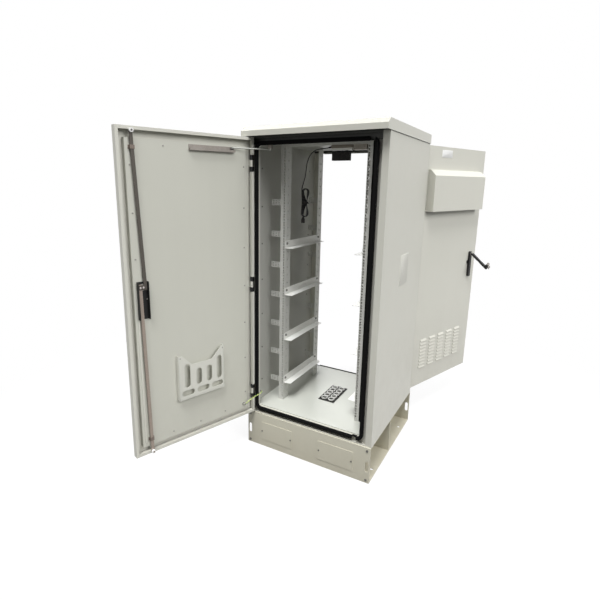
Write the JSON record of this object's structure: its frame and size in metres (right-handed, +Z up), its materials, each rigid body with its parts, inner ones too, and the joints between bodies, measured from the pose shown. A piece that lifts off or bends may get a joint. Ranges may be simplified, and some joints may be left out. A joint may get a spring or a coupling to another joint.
{
  "type": "roadside utility cabinet",
  "caption": "Tall roadside cabinet on a plinth with doors front and rear, three-point locks, rack rails, shelf angles, louvred rear door and a bevelled roof cap.",
  "frame": {"origin": "on the floor under the middle of the plinth, at the centre of the four anchor holes", "axes": "+X to the right seen from the front, +Y from the front to the rear, +Z up"},
  "size_m": [1.3768, 2.0988, 1.778],
  "materials": {
    "body_paint": "fine satin powder coat, warm light grey",
    "plinth_paint": "satin powder coat, grey beige",
    "zinc_steel": "zinc plated sheet",
    "bronze_steel": "yellow passivated steel",
    "fastener_steel": "zinc plated",
    "black_casting": "black powder coat",
    "seal_rubber": "matt black foam rubber",
    "black_plastic": "moulded",
    "white_nylon": "turned nylon",
    "white_plastic": "moulded",
    "opal_plastic": "opal",
    "lead_sheath": "soft cable sheath",
    "earth_sheath": "yellow and green sheath",
    "filter_mat": "coarse mat in a frame"
  },
  "bodies": {
    "cabinet": {"plinth_front": "plinth_paint", "plinth_rear": "plinth_paint", "plinth_sides": "plinth_paint", "access_covers": "plinth_paint", "plinth_bolts": "fastener_steel", "side_panel_left": "body_paint", "side_panel_right": "body_paint", "front_frame": "body_paint", "rear_frame": "body_paint", "door_seals": "seal_rubber", "wall_liners": "body_paint", "top_panel": "body_paint", "roof_cap": "body_paint", "floor_tray": "body_paint", "gland_plate": "black_plastic", "cable_entries": "white_plastic", "front_rails": "zinc_steel", "rear_rails": "zinc_steel", "cable_lugs": "zinc_steel", "shelf_angles": "zinc_steel", "lamp_bar": "zinc_steel", "lamp_housing": "zinc_steel", "lamp_diffuser": "opal_plastic", "lamp_driver": "bronze_steel", "socket_box": "black_plastic", "lamp_lead": "lead_sheath", "lead_hank": "lead_sheath", "earth_wire": "earth_sheath", "body_hinges": "black_casting", "stay_bracket": "bronze_steel"},
    "front_door": {"front_door_pan": "body_paint", "front_door_liner": "body_paint", "front_lock_case": "black_casting", "front_handle_base": "black_casting", "document_pocket": "body_paint", "stay_channel": "bronze_steel"},
    "rear_door": {"rear_door_pan": "body_paint", "rear_door_liner": "body_paint", "rear_lock_case": "black_casting", "rear_handle_base": "black_casting", "vent_hood": "body_paint", "vent_screen": "zinc_steel", "air_filter": "filter_mat"},
    "stay_rod": {"stay_rod": "bronze_steel"},
    "stay_slider": {"stay_slider": "black_plastic"},
    "front_spindle": {"front_lock_spindle": "fastener_steel"},
    "front_lever": {"front_lever": "black_casting"},
    "front_rod_upper": {"front_rod_upper": "bronze_steel"},
    "front_rod_lower": {"front_rod_lower": "bronze_steel"},
    "front_roller_top": {"front_roller_top": "white_nylon"},
    "front_roller_bottom": {"front_roller_bottom": "white_nylon"},
    "rear_spindle": {"rear_lock_spindle": "fastener_steel"},
    "rear_lever": {"rear_lever": "black_casting"},
    "rear_rod_upper": {"rear_rod_upper": "bronze_steel"},
    "rear_rod_lower": {"rear_rod_lower": "bronze_steel"},
    "rear_roller_top": {"rear_roller_top": "white_nylon"},
    "rear_roller_bottom": {"rear_roller_bottom": "white_nylon"}
  },
  "joints": [
    {"name": "front_door_swing", "type": "hinge", "parent": "cabinet", "child": "front_door", "pos_m": [-0.341, -0.381, 0.966], "axis": [0, 0, 1], "range_deg": [0, 108], "deforming": ["earth_wire"]},
    {"name": "front_handle_turn", "type": "hinge", "parent": "front_door", "child": "front_spindle", "pos_m": [-0.56205, -0.96424, 1.04], "axis": [0.9511, -0.309, 0], "range_deg": [0, 90]},
    {"name": "front_lever_lift", "type": "hinge", "parent": "front_spindle", "child": "front_lever", "pos_m": [-0.57137, -0.96121, 1.04], "axis": [-0.309, -0.9511, 0], "range_deg": [0, 52]},
    {"name": "front_rod_upper_slide", "type": "slide", "parent": "front_door", "child": "front_rod_upper", "axis": [0, 0, 1], "range_m": [0, 0.01]},
    {"name": "front_roller_top_spin", "type": "hinge", "parent": "front_rod_upper", "child": "front_roller_top", "pos_m": [-0.51312, -0.99486, 1.708], "axis": [0.9511, -0.309, 0], "continuous": true},
    {"name": "front_rod_lower_slide", "type": "slide", "parent": "front_door", "child": "front_rod_lower", "axis": [0, 0, -1], "range_m": [0, 0.01]},
    {"name": "front_roller_bottom_spin", "type": "hinge", "parent": "front_rod_lower", "child": "front_roller_bottom", "pos_m": [-0.50817, -0.97964, 0.222], "axis": [0.9511, -0.309, 0], "continuous": true},
    {"name": "rear_door_swing", "type": "hinge", "parent": "cabinet", "child": "rear_door", "pos_m": [0.341, 0.381, 0.966], "axis": [0, 0, 1], "range_deg": [0, 109.4]},
    {"name": "rear_handle_turn", "type": "hinge", "parent": "rear_door", "child": "rear_spindle", "pos_m": [0.57623, 0.95866, 1.04], "axis": [-0.9432, 0.3322, 0], "range_deg": [0, 90]},
    {"name": "rear_lever_lift", "type": "hinge", "parent": "rear_spindle", "child": "rear_lever", "pos_m": [0.58548, 0.95541, 1.04], "axis": [0.3322, 0.9432, 0], "range_deg": [0, 52]},
    {"name": "rear_rod_upper_slide", "type": "slide", "parent": "rear_door", "child": "rear_rod_upper", "axis": [0, 0, 1], "range_m": [0, 0.01]},
    {"name": "rear_roller_top_spin", "type": "hinge", "parent": "rear_rod_upper", "child": "rear_roller_top", "pos_m": [0.52806, 0.99047, 1.708], "axis": [-0.9432, 0.3322, 0], "continuous": true},
    {"name": "rear_rod_lower_slide", "type": "slide", "parent": "rear_door", "child": "rear_rod_lower", "axis": [0, 0, -1], "range_m": [0, 0.01]},
    {"name": "rear_roller_bottom_spin", "type": "hinge", "parent": "rear_rod_lower", "child": "rear_roller_bottom", "pos_m": [0.52275, 0.97538, 0.222], "axis": [-0.9432, 0.3322, 0], "continuous": true},
    {"name": "stay_swing", "type": "hinge", "parent": "cabinet", "child": "stay_rod", "pos_m": [-0.256, -0.333, 1.668], "axis": [0, 0, 1], "range_deg": [0, 113.12]},
    {"name": "stay_slide", "type": "slide", "parent": "front_door", "child": "stay_slider", "axis": [-0.309, -0.9511, 0], "range_m": [0, 0.16]}
  ],
  "couplings": [
    {"joint": "front_rod_upper_slide", "follows": "front_handle_turn", "m_per_rad": 0.0063662},
    {"joint": "front_rod_lower_slide", "follows": "front_handle_turn", "m_per_rad": 0.0063662},
    {"joint": "rear_rod_upper_slide", "follows": "rear_handle_turn", "m_per_rad": 0.0063662},
    {"joint": "rear_rod_lower_slide", "follows": "rear_handle_turn", "m_per_rad": 0.0063662},
    {"joint": "stay_swing", "follows": "front_door_swing", "ratio": 1.0473},
    {"joint": "stay_slide", "follows": "front_door_swing", "m_per_rad": 0.084882}
  ]
}
